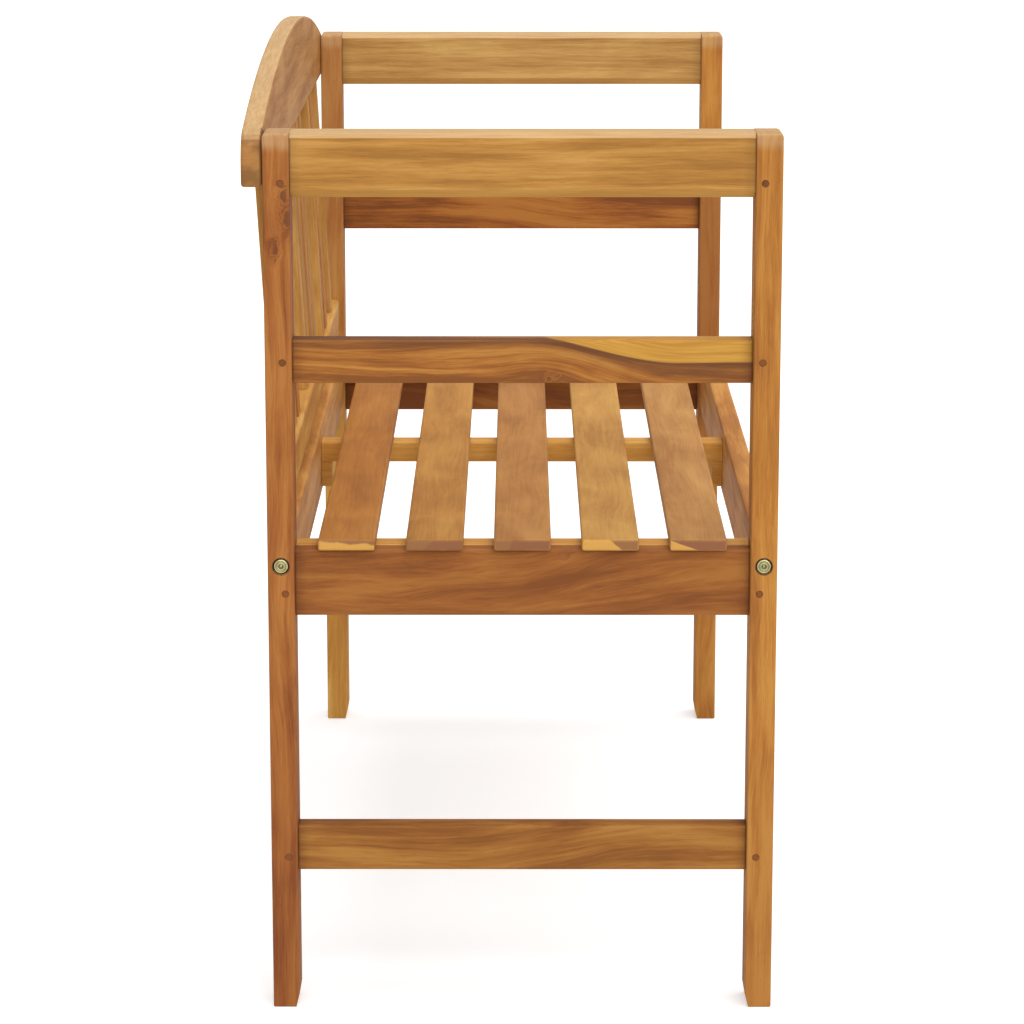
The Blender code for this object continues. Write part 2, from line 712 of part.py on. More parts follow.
def build_back(frames):
    """Lower rail between the posts, arched top rail behind them and slats between the two."""
    lower_rail = box(
        "back_lower_rail",
        (2 * (INNER_X - FIT), LOWER_BACK_THICK, LOWER_BACK_HEIGHT),
        (0.0, LOWER_BACK_Y, LOWER_BACK_TOP - LOWER_BACK_HEIGHT / 2),
    )
    round_long_edges(lower_rail, 0, RAIL_ROUND, RAIL_ROUND)
    paint(lower_rail, RAIL_BROWN)
    size = (TENON_LENGTH, TENON_THICK, LOWER_BACK_HEIGHT - 2 * LOWER_BACK_SHOULDER)
    for end, side in SIDES.items():
        shoulder = (side * INNER_X, LOWER_BACK_Y, LOWER_BACK_TOP - LOWER_BACK_HEIGHT / 2)
        tenon(lower_rail, frames[end]["back"], 0, side, shoulder, size)
    top_rail = build_top_rail()
    trims = slat_trims()
    for number, x in enumerate(slat_places(), start=1):
        back_slat(number, x, trims, lower_rail, top_rail)
    for end, side in SIDES.items():
        build_top_screw(end, side, (top_rail, frames[end]["back"], frames[end]["arm"]))


clear_scene()
bench = new_collection("garden_bench")
tools = new_collection("cutters")
end_frames = {end: build_end_frame(end, side) for end, side in SIDES.items()}
build_long_rail("front", end_frames)
build_long_rail("back", end_frames)
build_seat()
build_back(end_frames)
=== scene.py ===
import math

import bpy
from mathutils import Matrix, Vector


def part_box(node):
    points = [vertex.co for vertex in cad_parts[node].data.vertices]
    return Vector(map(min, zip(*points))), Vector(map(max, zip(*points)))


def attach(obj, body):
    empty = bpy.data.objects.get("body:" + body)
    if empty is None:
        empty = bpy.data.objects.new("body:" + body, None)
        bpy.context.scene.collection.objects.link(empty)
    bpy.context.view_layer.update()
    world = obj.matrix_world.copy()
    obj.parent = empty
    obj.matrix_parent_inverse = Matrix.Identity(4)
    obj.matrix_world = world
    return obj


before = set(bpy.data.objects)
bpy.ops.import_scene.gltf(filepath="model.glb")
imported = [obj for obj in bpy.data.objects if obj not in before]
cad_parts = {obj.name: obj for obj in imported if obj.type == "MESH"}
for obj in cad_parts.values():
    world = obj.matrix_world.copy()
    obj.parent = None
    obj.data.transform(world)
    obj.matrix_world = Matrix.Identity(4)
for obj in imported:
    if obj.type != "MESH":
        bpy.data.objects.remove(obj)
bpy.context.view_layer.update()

# Posts
# Four square posts of solid acacia, planed, sanded and oiled, with the grain running up.
# The rails are tenoned into them and the wooden pins and bolts go in from outside.


class Nodes:
    """Short ways to build a tree of nodes."""

    def __init__(self, tree):
        self.tree = tree

    def add(self, kind, numbers=None, **settings):
        """A new node with its settings, and the numbers that go on its sockets."""
        made = self.tree.nodes.new(kind)
        for key, value in settings.items():
            setattr(made, key, value)
        for socket, number in (numbers or {}).items():
            made.inputs[socket].default_value = number
        return made

    def feed(self, node, socket, value):
        """Give a socket a number, a colour or what comes out of another node."""
        if isinstance(value, (int, float)):
            node.inputs[socket].default_value = value
        elif isinstance(value, tuple):
            node.inputs[socket].default_value = (*value, 1.0)
        else:
            self.tree.links.new(value, node.inputs[socket])

    def math(self, kind, *values):
        """What a sum of numbers or of other nodes' values comes to."""
        made = self.add("ShaderNodeMath", operation=kind)
        for socket, value in enumerate(values):
            self.feed(made, socket, value)
        return made.outputs[0]

    def sway(self, field, amount, base):
        """base, moved up and down by a field of noise."""
        return self.math("MULTIPLY_ADD", self.math("SUBTRACT", field, 0.5), amount, base)

    def ease(self, value, low, high, start=0.0, end=1.0):
        """A soft step from start, where the value is low, to end, where it is high."""
        made = self.add("ShaderNodeMapRange", {1: low, 2: high, 3: start, 4: end},
                        interpolation_type="SMOOTHSTEP")
        self.feed(made, 0, value)
        return made.outputs[0]

    def tint(self, share, under, over, blend="MIX"):
        """The colour under, with a share of the colour over."""
        made = self.add("ShaderNodeMix", data_type="RGBA", blend_type=blend)
        for socket, value in ((0, share), (6, under), (7, over)):
            self.feed(made, socket, value)
        return made.outputs[2]

    def ramp(self, value, stops):
        """Colours laid out along a value."""
        made = self.add("ShaderNodeValToRGB")
        elements = made.color_ramp.elements
        elements[0].position = stops[0][0]
        elements[1].position = stops[-1][0]
        for position, _ in stops[1:-1]:
            elements.new(position)
        for element, (_, colour) in zip(elements, stops):
            element.color = (*colour, 1.0)
        self.feed(made, 0, value)
        return made.outputs[0]

    def noise(self, place, scale, detail, roughness=0.5, distortion=0.0):
        """A cloudy field between nought and one, about 0.5 on the whole."""
        made = self.add("ShaderNodeTexNoise", {"Scale": scale, "Detail": detail,
                                               "Roughness": roughness,
                                               "Distortion": distortion})
        self.feed(made, "Vector", place)
        return made.outputs["Fac"]

    def distance(self, place, centre, squeeze):
        """How far a place is from centre, with each axis drawn in by its squeeze."""
        apart = self.add("ShaderNodeVectorMath", {1: centre}, operation="SUBTRACT")
        self.feed(apart, 0, place)
        squeezed = self.add("ShaderNodeVectorMath", {1: squeeze}, operation="MULTIPLY")
        self.feed(squeezed, 0, apart.outputs[0])
        length = self.add("ShaderNodeVectorMath", operation="LENGTH")
        self.feed(length, 0, squeezed.outputs[0])
        return length.outputs["Value"]


def middle_of(box):
    """The middle of a box, from its lowest and highest corners."""
    low, high = box
    return [(a + b) / 2 for a, b in zip(low, high)]


def acacia(name, grain, face, tones, seed, lines=1.0, cloud=1.0, sweep=None, wave=0.004,
           width=1.0, knots=(), heart=None, ends=None, size=None, joint=0.0, lean=0.0,
           sheen_and_wear=0.0, sheen_from=0.30, bounce_light=0.0, crown=None, darker=(), seam=None,
           bolt=None):
    """Oiled acacia, with its grain, its flaws and its wear.

    grain, face: the axis of the fibres, and the axis that is widest across them.
    tones, seed: the dark, middle and light colours, and which board it is.
    lines, cloud: how strong the lines of the grain and the broad patches are.
    sweep: where the lines start and stop to climb across the face, and how far.
    wave, width: how far the lines wander, and how broad they are.
    knots: the middle and the radius of each knot.
    heart: how high the heartwood's edge lies, how deep it is, and how strong.
    ends: the two colours of a sawn end, and the line that parts them.
    size: the box of the piece, to find its edges and its ends.
    joint: the length of the tenons, beside which dust and oil gather and painted shade darkens
    the corner.
    lean: how far the board leans back.
    rubbed, sheen_from: how pale the faces that look up are painted, as painted sheen of the
    light from above, and how far up a face has to look; rubbed also sets how pale the worn
    tops of posts are.
    grip: how golden the faces that look down are painted, as painted bounce light from the
    floor.
    crown: the height of a post's top, worn all round.
    darker: the darker stretches along a board, which paint shade and light on the posts. Each
    has four places, where it starts, is full, is still full and stops, and how dark it is.
    seam: the face of a rail that lies against two posts, with painted shade in the crack.
    bolt: the middle of a bolt's head, with painted shade in the rim and the hole of its sunk
    seat.
    """
    mat = bpy.data.materials.new(name)
    mat.use_nodes = True
    nodes = Nodes(mat.node_tree)
    shader = mat.node_tree.nodes["Principled BSDF"]
    dark, middle, light = tones
    shade = tuple(0.45 * channel for channel in dark)

    # The board's own directions: along the fibres, across the face and through the board.
    coordinates = nodes.add("ShaderNodeTexCoord")
    place = coordinates.outputs["Object"]
    turned = nodes.add("ShaderNodeMapping", {"Rotation": (lean, 0.0, 0.0)})
    nodes.feed(turned, "Vector", place)
    parts = nodes.add("ShaderNodeSeparateXYZ")
    nodes.feed(parts, 0, turned.outputs[0])
    along = parts.outputs[grain]
    across = parts.outputs[face]
    through = parts.outputs[3 - grain - face]
    moved_along, moved_through = 3.71 * seed, 1.93 * seed

    def stretched(along_share, across_value, through_share=1.0):
        """Board directions with the one along the fibres drawn out, moved to this board."""
        made = nodes.add("ShaderNodeCombineXYZ")
        nodes.feed(made, 0, nodes.math("MULTIPLY_ADD", along, along_share, moved_along))
        nodes.feed(made, 1, across_value)
        nodes.feed(made, 2, nodes.math("MULTIPLY_ADD", through, through_share, moved_through))
        return made.outputs[0]

    # The lines of the grain wander, and in some boards they climb across the face.
    drift = nodes.noise(stretched(0.22, across), scale=14.0, detail=2.0, roughness=0.45)
    tremble = nodes.noise(stretched(0.40, across), scale=55.0, detail=2.0)
    line_place = nodes.sway(drift, 9.0 * wave, across)
    line_place = nodes.sway(tremble, 0.0035, line_place)
    climb = 0.0
    if sweep is not None:
        starts, stops, how_far = sweep
        climb = nodes.ease(along, starts, stops, 0.0, how_far)
        line_place = nodes.math("SUBTRACT", line_place, climb)

    # A knot is a small dark swirl, longer along the grain, that the lines part round.
    knot = None
    for centre, radius in knots:
        squeeze = [1.0, 1.0, 1.0]
        squeeze[grain] = 0.55
        jitter = nodes.noise(place, scale=160.0, detail=3.0)
        ragged = nodes.sway(jitter, 2.6 * radius, nodes.distance(place, centre, squeeze))
        near = nodes.ease(ragged, 2.8 * radius, 0.1 * radius)
        knot = near if knot is None else nodes.math("MAXIMUM", knot, near)
    if knot is not None:
        line_place = nodes.math("MULTIPLY_ADD", knot, 0.013, line_place)

    # Broad lines, fine lines and fibres run with the grain, and patches lie over them.
    broad = nodes.noise(stretched(0.05, line_place, 0.6), scale=80.0 / width, detail=2.5,
                        roughness=0.50, distortion=0.15)
    fine = nodes.noise(stretched(0.035, line_place), scale=330.0, detail=3.0, roughness=0.62)
    fibre = nodes.noise(stretched(0.045, line_place), scale=1100.0, detail=2.0, roughness=0.6)
    patches = nodes.noise(stretched(0.30, across, 0.8), scale=20.0, detail=3.0,
                          roughness=0.55, distortion=0.5)
    pits = nodes.noise(stretched(0.12, line_place), scale=900.0, detail=1.0, roughness=0.4)
    pore = nodes.ease(pits, 0.64, 0.76)
    tone = nodes.sway(broad, 2.1 * lines, 0.5)
    tone = nodes.sway(fine, 0.62 + 0.40 * lines, tone)
    tone = nodes.sway(patches, 1.7 * cloud, tone)
    tone = nodes.sway(fibre, 0.50 + 0.20 * lines, tone)
    colour = nodes.ramp(tone, [(0.14, dark), (0.50, middle), (0.86, light)])
    colour = nodes.tint(nodes.math("MULTIPLY", pore, 0.16), colour, shade)

    # Heartwood: a dark band under a curved edge, with yellow sapwood over it.
    if heart is not None:
        level, depth, strength = heart
        heartwood = (0.120, 0.042, 0.012)
        sapwood = (0.44, 0.205, 0.026), (0.56, 0.290, 0.045)
        edge = nodes.sway(drift, 0.016, level)
        above = nodes.math("SUBTRACT", nodes.math("SUBTRACT", across, climb), edge)
        band = nodes.math("MULTIPLY", nodes.ease(above, -depth, -0.0015), strength)
        band = nodes.math("MULTIPLY", band, nodes.ease(broad, 0.62, 0.38, 0.30, 1.0))
        colour = nodes.tint(band, colour, heartwood)
        pale = nodes.tint(nodes.ease(fine, 0.3, 0.7), *sapwood)
        colour = nodes.tint(nodes.ease(above, -0.0010, 0.0006), colour, pale)

    # A knot has dark arcs round a dark core.
    if knot is not None:
        knot_lines, knot_core = (0.140, 0.040, 0.010), (0.110, 0.032, 0.009)
        turn = nodes.math("MULTIPLY_ADD", knot, 16.0, nodes.math("MULTIPLY", fine, 9.0))
        arcs = nodes.math("MULTIPLY", nodes.ease(nodes.math("SINE", turn), 0.1, 0.8),
                          nodes.ease(knot, 0.12, 0.45))
        colour = nodes.tint(nodes.math("MULTIPLY", arcs, 0.56), colour, knot_lines)
        colour = nodes.tint(nodes.ease(knot, 0.75, 0.98, 0.0, 0.50), colour, knot_core)

    # Beside the posts the rails are darker: painted shade in the corner and the crease at the
    # post, and oil and dust gathered there.
    if joint:
        first, last = size[0][grain], size[1][grain]
        off = nodes.math("ABSOLUTE", nodes.math("SUBTRACT", along, (first + last) / 2))
        reach = (last - first) / 2 - joint
        for starts, full, how_dark in ((0.014, 0.0, 0.30), (0.0024, 0.0008, 0.50)):
            dust_and_corner_shade = nodes.ease(off, reach - starts, reach - full, 0.0, how_dark)
            colour = nodes.tint(dust_and_corner_shade, colour, shade)

    # End grain: sawn fibres drink the oil, so the ends are duller and speckled.
    normal = nodes.add("ShaderNodeMapping", {"Rotation": (lean, 0.0, 0.0)},
                       vector_type="NORMAL")
    nodes.feed(normal, "Vector", coordinates.outputs["Normal"])
    facing = nodes.add("ShaderNodeSeparateXYZ")
    nodes.feed(facing, 0, normal.outputs[0])
    if ends is None:
        rings = nodes.ease(broad, 0.40, 0.60)
        cut_end = nodes.tint(rings, tuple(0.60 * channel for channel in middle), middle)
    else:
        one_side, other_side, start, slope_y, slope_z = ends
        side = nodes.math("MULTIPLY_ADD", parts.outputs[1], slope_y, -start)
        side = nodes.math("MULTIPLY_ADD", parts.outputs[2], slope_z, side)
        side = nodes.sway(patches, 0.020, side)
        cut_end = nodes.tint(nodes.ease(side, -0.0010, 0.0010), other_side, one_side)
    speck = nodes.noise(place, scale=1400.0, detail=2.0, roughness=0.6)
    cut_end = nodes.tint(nodes.ease(speck, 0.35, 0.70, 0.0, 0.25), cut_end, shade)
    is_end = nodes.ease(nodes.math("ABSOLUTE", facing.outputs[grain]), 0.6, 0.9)
    colour = nodes.tint(is_end, colour, cut_end)

    # Rubbed edges: a thin paler line where the oil has worn off the corners. An edge is where
    # two of the three depths under the faces are small.
    if size is not None and seam is None:
        half = [(b - a) / 2 for a, b in zip(*size)]
        from_middle = nodes.add("ShaderNodeVectorMath", {1: middle_of(size)},
                                operation="SUBTRACT")
        nodes.feed(from_middle, 0, place)
        positive = nodes.add("ShaderNodeVectorMath", operation="ABSOLUTE")
        nodes.feed(positive, 0, from_middle.outputs[0])
        inside = nodes.add("ShaderNodeVectorMath", {0: half}, operation="SUBTRACT")
        nodes.feed(inside, 1, positive.outputs[0])
        depths = nodes.add("ShaderNodeSeparateXYZ")
        nodes.feed(depths, 0, inside.outputs[0])
        one, two, three = depths.outputs
        nearer = nodes.math("MINIMUM", one, two)
        farther = nodes.math("MAXIMUM", one, two)
        second = nodes.math("MAXIMUM", nearer, nodes.math("MINIMUM", farther, three))
        worn = nodes.math("MULTIPLY", nodes.ease(second, 0.0032, 0.0004),
                          nodes.ease(patches, 0.36, 0.62, 0.15, 1.0))
        bare = tuple(min(1.0, 1.10 * channel + 0.015) for channel in light)
        colour = nodes.tint(nodes.math("MULTIPLY", worn, 0.32), colour, bare)

    # Painted shade: a dark rim in the edge of a bolt's sunk seat and down its hole, where the
    # recess lies in shade.
    if bolt is not None:
        rim_outside, rim_inside, recess_shade = 0.0092, 0.0084, (0.050, 0.022, 0.008)
        away = nodes.distance(place, bolt, (0.0, 1.0, 1.0))
        rim_shade = nodes.ease(away, rim_outside, rim_inside, 0.0, 0.85)
        colour = nodes.tint(rim_shade, colour, recess_shade)

    # Darker, redder stretches along a board. On the posts they paint shade towards the feet
    # and across the far front post's waist, and darken the far back post's upper half over its
    # paler tones, so that its shaded lower part is painted lighter.
    for (starts, full, still_full, stops), how_dark in darker:
        light_and_shade_stretch = nodes.math("MULTIPLY", nodes.ease(along, starts, full),
                             nodes.ease(along, stops, still_full, 0.0, how_dark))
        colour = nodes.tint(light_and_shade_stretch, colour, (shade[0], 0.35 * shade[1], shade[2]))

    # Painted sheen and wear: faces that look up are painted pale as sheen of the light from
    # above, and the tops of posts are worn pale; faces that look down are painted golden as
    # bounce light from the floor.
    if sheen_and_wear:
        sheen_and_crown_wear = nodes.ease(facing.outputs[2], sheen_from, sheen_from + 0.35, 0.0, sheen_and_wear)
        if crown is not None:
            height = nodes.sway(patches, 0.02, along)
            top = nodes.ease(height, crown - 0.020, crown - 0.008, 0.0, 0.75 * sheen_and_wear)
            sheen_and_crown_wear = nodes.math("MAXIMUM", sheen_and_crown_wear, top)
        sheen_and_bare_wood = (0.50, 0.310, 0.135), (0.60, 0.400, 0.200)
        sheen_and_bare = nodes.tint(nodes.ease(fine, 0.3, 0.7), *sheen_and_bare_wood)
        colour = nodes.tint(sheen_and_crown_wear, colour, sheen_and_bare)
    if bounce_light:
        # Painted bounce light from the floor on faces that look down.
        bounce_colour = (0.620, 0.330, 0.075)
        bounce_lit = nodes.ease(facing.outputs[2], -0.30, -0.65, 0.0, bounce_light)
        colour = nodes.tint(bounce_lit, colour, bounce_colour)

    # Painted shade in the crack between the top rail and the posts at its two ends.
    if seam is not None:
        rail_end = size[1][0]
        crack_shade = nodes.ease(parts.outputs[1], seam + 0.0028, seam + 0.0012, 0.0, 0.85)
        beside = nodes.ease(nodes.math("ABSOLUTE", along), rail_end - 0.032, rail_end - 0.026)
        colour = nodes.tint(nodes.math("MULTIPLY", crack_shade, beside), colour, shade)

    # Painted reflection: a little white is added to every colour, standing in for the sheen of
    # the white studio that the low specular level leaves out.
    painted_sheen = (0.012, 0.012, 0.012)
    nodes.feed(shader, "Base Color", nodes.tint(1.0, colour, painted_sheen, blend="ADD"))

    # The oil leaves a soft satin, a little duller along the fibres, and the pores stay open.
    nodes.feed(shader, "Roughness", nodes.ease(fibre, 0.3, 0.7, 0.56, 0.68))
    nodes.feed(shader, "Specular IOR Level", 0.08)
    height = nodes.math("SUBTRACT", nodes.math("MULTIPLY", fibre, 0.6), pore)
    height = nodes.math("MULTIPLY_ADD", fine, 0.5, height)
    bump = nodes.add("ShaderNodeBump", {"Strength": 0.22, "Distance": 0.0004})
    nodes.feed(bump, "Height", height)
    nodes.feed(shader, "Normal", bump.outputs[0])
    return mat


def dress(node_name, mat):
    """Give one of the model's own pieces its finish."""
    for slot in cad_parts[node_name].material_slots:
        slot.material = mat


orange = ((0.215, 0.058, 0.009), (0.315, 0.100, 0.016), (0.400, 0.150, 0.028))
amber = ((0.310, 0.105, 0.014), (0.420, 0.164, 0.023), (0.505, 0.228, 0.040))
sandy = ((0.450, 0.188, 0.030), (0.555, 0.262, 0.046), (0.650, 0.360, 0.090))

swirls = [((-0.560, 0.2165, 0.8100), 0.0042), ((-0.560, 0.2140, 0.7885), 0.0046),
          ((-0.560, 0.2250, 0.7590), 0.0040)]
# Painted shade: the posts darken towards their feet, where less light reaches near the floor,
# and the far front post darkens across its waist between the mid rail and the arm.
shaded_foot = (-0.2, -0.1, 0.0, 0.45)
upper_half = (0.35, 0.65, 1.0, 1.1)
shaded_waist = (0.20, 0.45, 0.66, 0.74)
for name, tones, seed, knots, darker in [
    ("post_back_left", orange, 3.1, swirls, [(shaded_foot, 0.20)]),
    ("post_front_left", amber, 4.6, (), [(shaded_foot, 0.24)]),
    # The far back post has paler tones, darkened over its upper half: painted light in its
    # lower part, which lies in the shade of the seat.
    ("post_back_right", sandy, 5.2, (), [(upper_half, 0.50)]),
    ("post_front_right", amber, 6.9, (), [(shaded_foot, 0.12), (shaded_waist, 0.50)]),
]:
    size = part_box(name)
    dress(name, acacia("acacia_" + name, 2, 1, tones, seed, lines=0.75, cloud=0.95, wave=0.006,
                       knots=knots, size=size, sheen_and_wear=0.6, crown=size[1][2], darker=darker,
                       bolt=middle_of(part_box(name.replace("post", "bolt")))))

# Arm rails
# Thick rails from post to post with chamfered edges, cut from straight-grained golden stock.
# They are tenoned into the posts, level with their tops, and pinned.

tenon_length = 0.0145
golden = ((0.315, 0.132, 0.021), (0.422, 0.193, 0.034), (0.525, 0.270, 0.062))
straw = ((0.320, 0.148, 0.034), (0.440, 0.235, 0.062), (0.550, 0.330, 0.100))
for name, tones, seed in [("arm_rail_left", golden, 11.4), ("arm_rail_right", straw, 12.9)]:
    dress(name, acacia("acacia_" + name, 1, 2, tones, seed, lines=0.7, cloud=0.6,
                       wave=0.0012, width=0.9, size=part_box(name), joint=tenon_length,
                       sheen_and_wear=0.78, bounce_light=0.45))

# Mid rails, seat side rails and stretchers
# Thinner rails, set back from the posts' faces and tenoned into them. Some were sawn near
# the heart of the log, so their grain sweeps across the face and dark heartwood shows.

flamed = ((0.205, 0.064, 0.009), (0.345, 0.118, 0.016), (0.450, 0.195, 0.034))
plain = ((0.215, 0.070, 0.009), (0.302, 0.112, 0.016), (0.380, 0.168, 0.030))
smoky = ((0.175, 0.050, 0.007), (0.300, 0.093, 0.012), (0.395, 0.152, 0.025))
ruddy = ((0.188, 0.054, 0.008), (0.265, 0.083, 0.012), (0.345, 0.128, 0.022))
for name, tones, seed, look in [
    ("mid_rail_left", flamed, 21.3, {
        "lines": 1.30, "cloud": 0.7, "sweep": (-0.160, -0.004, 0.0265), "wave": 0.005,
        "width": 1.3, "heart": (0.6470, 0.022, 0.85),
        "knots": [((-0.551, -0.036, 0.6330), 0.0028)]}),
    ("mid_rail_right", smoky, 22.9, {
        "lines": 1.0, "sweep": (-0.10, 0.12, 0.020), "wave": 0.004, "width": 1.2}),
    ("seat_side_rail_left", ruddy, 24.2, {
        "lines": 0.80, "cloud": 0.95, "sweep": (-0.20, 0.02, -0.030), "wave": 0.007,
        "width": 1.5, "knots": [((-0.551, -0.0500, 0.4570), 0.0016)]}),
    ("seat_side_rail_right", ruddy, 25.8, {
        "lines": 0.9, "sweep": (0.00, 0.18, 0.030), "wave": 0.006, "width": 1.6}),
    ("stretcher_left", plain, 27.1, {
        "lines": 0.75, "cloud": 0.8, "sweep": (-0.19, 0.06, -0.022), "wave": 0.004,
        "width": 0.9}),
    ("stretcher_right", plain, 28.6, {
        "lines": 0.8, "sweep": (-0.05, 0.16, 0.026), "wave": 0.004, "width": 1.2}),
]:
    dress(name, acacia("acacia_" + name, 1, 2, tones, seed, size=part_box(name),
                       joint=tenon_length, **look))

# Long seat rails, cleats and centre batten
# The long rails are bolted through the posts. The cleats lie along the side rails and the
# batten crosses between the long rails; all three are plain, paler stock.

russet_gold = ((0.350, 0.130, 0.020), (0.475, 0.198, 0.035), (0.570, 0.272, 0.062))
for name, seed in [("seat_rail_front", 31.7), ("seat_rail_back", 33.0)]:
    dress(name, acacia("acacia_" + name, 0, 2, russet_gold, seed, lines=0.95, width=1.5,
                       wave=0.005, size=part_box(name)))
for name, seed in [("seat_cleat_left", 35.2), ("seat_cleat_right", 36.4),
                   ("seat_batten", 37.9)]:
    dress(name, acacia("acacia_" + name, 1, 0, sandy, seed, lines=0.5, cloud=0.5,
                       wave=0.002, size=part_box(name)))

# Seat slats
# Five flat boards with eased edges, each from another log, so their colour changes from one
# to the next. Their sawn ends show where heartwood meets sapwood.


def shades(red, green, blue):
    """A board's dark, middle and light colours from its middle one."""
    return ((0.76 * red, 0.68 * green, 0.60 * blue), (red, green, blue),
            (1.20 * red, 1.32 * green, 1.50 * blue))


yellow_end = (0.640, 0.330, 0.070)
brown_end = (0.290, 0.125, 0.045)
red_end = (0.260, 0.098, 0.042)
for number, (tones, one_side, other_side, off_y, off_z, slope_y, slope_z) in enumerate([
    (shades(0.428, 0.199, 0.050), yellow_end, red_end, 0.014, 0.000, 1.0, -2.6),
    (shades(0.456, 0.222, 0.045), yellow_end, brown_end, -0.004, 0.000, 1.0, -1.2),
    (shades(0.370, 0.155, 0.032), brown_end, red_end, 0.010, 0.000, 1.0, 0.5),
    (shades(0.420, 0.186, 0.031), brown_end, red_end, 0.004, 0.000, 1.0, 1.0),
    (shades(0.378, 0.144, 0.020), yellow_end, brown_end, 0.000, 0.002, 0.04, -1.0),
], start=1):
    name = f"seat_slat_{number}"
    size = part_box(name)
    _, mid_y, mid_z = middle_of(size)
    start = slope_y * (mid_y + off_y) + slope_z * (mid_z + off_z)
    dress(name, acacia("acacia_" + name, 0, 1, tones, 41.3 + 1.7 * number, lines=0.30,
                       width=2.0, ends=(one_side, other_side, start, slope_y, slope_z),
                       size=size))

# Back
# Ten slats stand between a lower rail and an arched top rail. The top rail is screwed to the
# backs of the posts, so the slats lean back a little, and their grain leans with them.

arch_tones = ((0.285, 0.112, 0.024), (0.400, 0.176, 0.042), (0.500, 0.258, 0.084))
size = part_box("back_lower_rail")
dress("back_lower_rail", acacia("acacia_back_lower_rail", 0, 2, sandy, 51.9, lines=0.7,
                                width=1.4, size=size))
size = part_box("back_top_rail")
dress("back_top_rail", acacia("acacia_back_top_rail", 0, 2, arch_tones, 53.4, lines=0.6,
                              cloud=0.8, width=1.4, sheen_and_wear=0.75, sheen_from=0.55, size=size,
                              seam=size[0][1]))
set_back, rise = 0.0160, 0.2775
for number in range(1, 11):
    name = f"back_slat_{number:02d}"
    tones = amber if number in (3, 6, 9) else golden
    dress(name, acacia("acacia_" + name, 2, 0, tones, 57.1 + 1.3 * number, lines=0.6,
                       wave=0.003, lean=math.atan2(set_back, rise)))

# Wooden pins
# Turned pegs driven through the tenons and cut off flush. Only their end grain shows, and
# it is darker than the posts, because it drinks more oil.

peg = ((0.120, 0.034, 0.006), (0.215, 0.066, 0.010), (0.300, 0.105, 0.018))
for number, name in enumerate(sorted(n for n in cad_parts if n.startswith("pin_"))):
    dress(name, acacia("acacia_" + name, 0, 1, peg, 71.3 + number, lines=0.6))

# Bolts, barrel nuts and top rail screws
# Flat-headed socket bolts and countersunk screws, yellow zinc plated, with fine turning
# rings on the heads; the barrel nuts in the long rails are plain steel.


def plated(name, bright, dull, rough, rings=None):
    """Plated steel: a mottled film over turned metal. rings is the middle of a turned head,
    round which painted highlight and shade are laid with the turning rings.
    """
    mat = bpy.data.materials.new(name)
    mat.use_nodes = True
    nodes = Nodes(mat.node_tree)
    shader = mat.node_tree.nodes["Principled BSDF"]
    place = nodes.add("ShaderNodeTexCoord").outputs["Object"]
    film = nodes.noise(place, scale=300.0, detail=4.0)
    colour = nodes.ramp(film, [(0.40, dull), (0.60, bright)])
    height = film
    if rings is not None:
        ring_width, head_reach = 0.0011, 0.0080
        radius = nodes.distance(place, rings, (0.0, 1.0, 1.0))
        height = nodes.math("SINE", nodes.math("MULTIPLY", radius, 2.0 * math.pi / ring_width))
        # Painted light on the head: a highlight in the middle, painted shade in a groove and
        # round the rim, and a darker inner disc.
        head_light_and_shade = nodes.ramp(nodes.math("DIVIDE", radius, head_reach), [
            (share, (grey, grey, grey)) for share, grey in (
                (0.0, 0.90), (0.10, 0.80), (0.15, 0.30), (0.30, 0.22), (0.35, 0.75),
                (0.50, 0.50), (0.61, 0.42), (0.65, 0.14), (0.70, 0.75), (0.77, 1.0),
                (0.90, 1.0), (0.96, 0.60), (1.0, 0.50))])
        head_with_painted_light = nodes.add("ShaderNodeVectorMath", operation="SCALE")
        nodes.feed(head_with_painted_light, 0, colour)
        nodes.feed(head_with_painted_light, "Scale", head_light_and_shade)
        colour = head_with_painted_light.outputs[0]
    rub = nodes.add("ShaderNodeMapRange", {3: rough - 0.08, 4: rough + 0.12})
    nodes.feed(rub, 0, film)
    bump = nodes.add("ShaderNodeBump", {"Strength": 0.35, "Distance": 0.0002})
    nodes.feed(bump, "Height", height)
    nodes.feed(shader, "Base Color", colour)
    nodes.feed(shader, "Metallic", 1.0)
    nodes.feed(shader, "Roughness", rub.outputs[0])
    nodes.feed(shader, "Normal", bump.outputs[0])
    return mat


plain_steel = plated("plain_steel", (0.42, 0.42, 0.40), (0.30, 0.30, 0.29), 0.42)
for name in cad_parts:
    if name.startswith(("bolt_", "top_rail_screw_")):
        dress(name, plated("yellow_zinc_" + name, (0.57, 0.49, 0.24), (0.41, 0.39, 0.19), 0.34,
                           rings=middle_of(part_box(name))))
    if name.startswith("barrel_nut_"):
        dress(name, plain_steel)

# Slat screws
# Small round-headed steel screws with a cross recess, yellow zinc plated. Two go up through
# a cleat or the centre batten into each slat, so they only show from underneath.

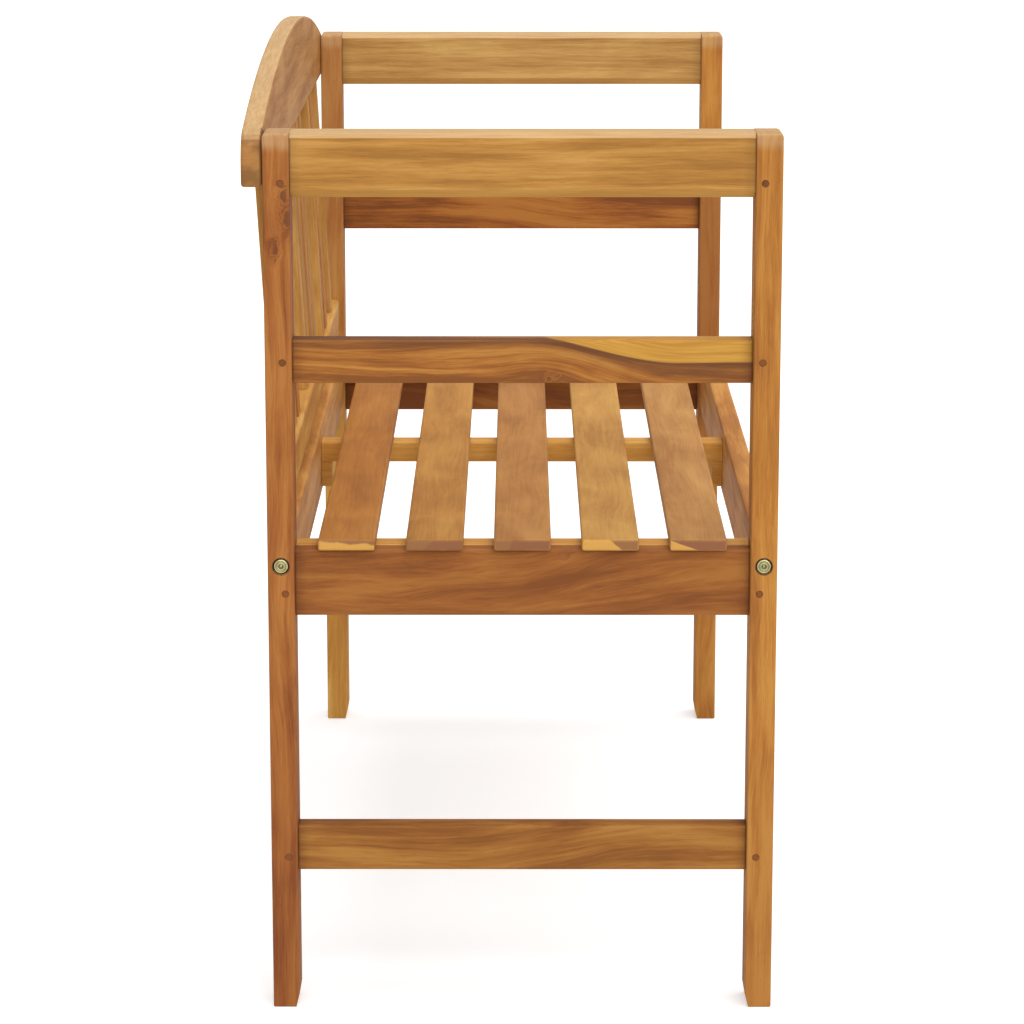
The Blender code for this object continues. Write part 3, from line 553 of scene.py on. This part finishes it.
head_radius, head_height, head_round = 0.0040, 0.0024, 0.0012
cross = (0.0046, 0.0010, 0.0026)
bpy.ops.object.select_all(action="DESELECT")
bpy.ops.mesh.primitive_cylinder_add(vertices=36, radius=head_radius, depth=head_height)
head = bpy.context.object
bpy.ops.object.mode_set(mode="EDIT")
bpy.ops.mesh.select_all(action="DESELECT")
bpy.ops.object.mode_set(mode="OBJECT")
for vertex in head.data.vertices:
    vertex.select = vertex.co.z < 0.0
bpy.ops.object.mode_set(mode="EDIT")
bpy.ops.mesh.bevel(offset=head_round, segments=5, affect="EDGES")
bpy.ops.object.mode_set(mode="OBJECT")
for turn in (0.0, math.pi / 2):
    bpy.ops.mesh.primitive_cube_add(size=1.0, location=(0.0, 0.0, -head_height / 2),
                                    rotation=(0.0, 0.0, turn), scale=cross)
    arm = bpy.context.object
    recess = head.modifiers.new("recess", "BOOLEAN")
    recess.operation = "DIFFERENCE"
    recess.solver = "EXACT"
    recess.object = arm
    bpy.ops.object.select_all(action="DESELECT")
    head.select_set(True)
    bpy.context.view_layer.objects.active = head
    bpy.ops.object.modifier_apply(modifier="recess")
    bpy.data.objects.remove(arm)
bpy.ops.object.shade_smooth_by_angle(angle=math.radians(35))
head.data.materials.append(plated("yellow_zinc_slat_screws", (0.50, 0.43, 0.19),
                                  (0.36, 0.35, 0.16), 0.36))

beside_support_middle, beside_slat_middle, sunk = 0.006, 0.016, 0.0002
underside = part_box("seat_cleat_left")[0][2]
for number in range(1, 6):
    slat_middle = middle_of(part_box(f"seat_slat_{number}"))
    for support in ("seat_cleat_left", "seat_batten", "seat_cleat_right"):
        support_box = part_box(support)
        for side in (-1, 1):
            screw = bpy.data.objects.new(
                f"slat_screw_{number}_{support[5:]}_{'back' if side > 0 else 'front'}",
                head.data.copy())
            bpy.context.scene.collection.objects.link(screw)
            turned_to = 1.7 * number + 0.9 * side + support_box[0][0]
            screw.data.transform(
                Matrix.Translation((
                    middle_of(support_box)[0] + beside_support_middle * side,
                    slat_middle[1] + beside_slat_middle * side,
                    underside - head_height / 2 + sunk))
                @ Matrix.Rotation(turned_to, 4, "Z"))
            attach(screw, "root")
bpy.data.objects.remove(head)

# Floor, light and camera
# A wide pale floor that reaches past the picture's edges, two broad soft lamps and an
# even world. The camera stands beyond the left end and looks along the bench.


def is_seen(nodes):
    """One where this is seen, also in a reflection or through glass, and nought where it
    only gives light."""
    path = nodes.add("ShaderNodeLightPath")
    seen = nodes.math("MAXIMUM", path.outputs["Is Camera Ray"], path.outputs["Is Glossy Ray"])
    return nodes.math("MAXIMUM", seen, path.outputs["Is Transmission Ray"])


floor_size, floor_glow, even_light = 80.0, 0.48, 0.48
bpy.ops.object.select_all(action="DESELECT")
bpy.ops.mesh.primitive_plane_add(size=floor_size, location=(0.0, 0.0, 0.0))
floor = bpy.context.object
floor.name = "floor"
floor_mat = bpy.data.materials.new("pale_floor")
floor_mat.use_nodes = True
nodes = Nodes(floor_mat.node_tree)
paint = floor_mat.node_tree.nodes["Principled BSDF"]
nodes.feed(paint, "Base Color", (0.70, 0.70, 0.70))
nodes.feed(paint, "Roughness", 0.9)
nodes.feed(paint, "Specular IOR Level", 0.1)
nodes.feed(paint, "Emission Color", (1.0, 1.0, 1.0))
glow = nodes.math("MULTIPLY", is_seen(nodes), floor_glow)
nodes.feed(paint, "Emission Strength", glow)
floor.data.materials.append(floor_mat)

world = bpy.data.worlds.new("studio")
world.use_nodes = True
bpy.context.scene.world = world
nodes = Nodes(world.node_tree)
sky = world.node_tree.nodes["Background"]
strength = nodes.add("ShaderNodeMapRange", {3: even_light, 4: 1.0})
nodes.feed(strength, 0, is_seen(nodes))
nodes.feed(sky, "Color", (1.0, 1.0, 1.0))
nodes.feed(sky, "Strength", strength.outputs[0])

for name, pitch, turn, energy, spread in [("key_lamp", 28, -80, 1.75, 50),
                                          ("top_lamp", 75, 20, 1.7, 60)]:
    light = bpy.data.lights.new(name, "SUN")
    light.energy = energy
    light.angle = math.radians(spread)
    lamp = bpy.data.objects.new(name, light)
    bpy.context.scene.collection.objects.link(lamp)
    lamp.rotation_euler = (math.radians(90 - pitch), 0.0, math.radians(turn))

looks_down, looks_aside = 0.2142, 0.00156
camera = bpy.data.cameras.new("camera")
camera.sensor_width = 36.0
camera.lens = 130.45
camera.clip_end = 200.0
eye = bpy.data.objects.new("camera", camera)
bpy.context.scene.collection.objects.link(eye)
eye.location = (-4.060, -0.00548, 1.26516)
eye.rotation_euler = (math.pi / 2 - looks_down, 0.0, -math.pi / 2 + looks_aside)
bpy.context.scene.camera = eye
bpy.context.scene.view_settings.view_transform = "Standard"
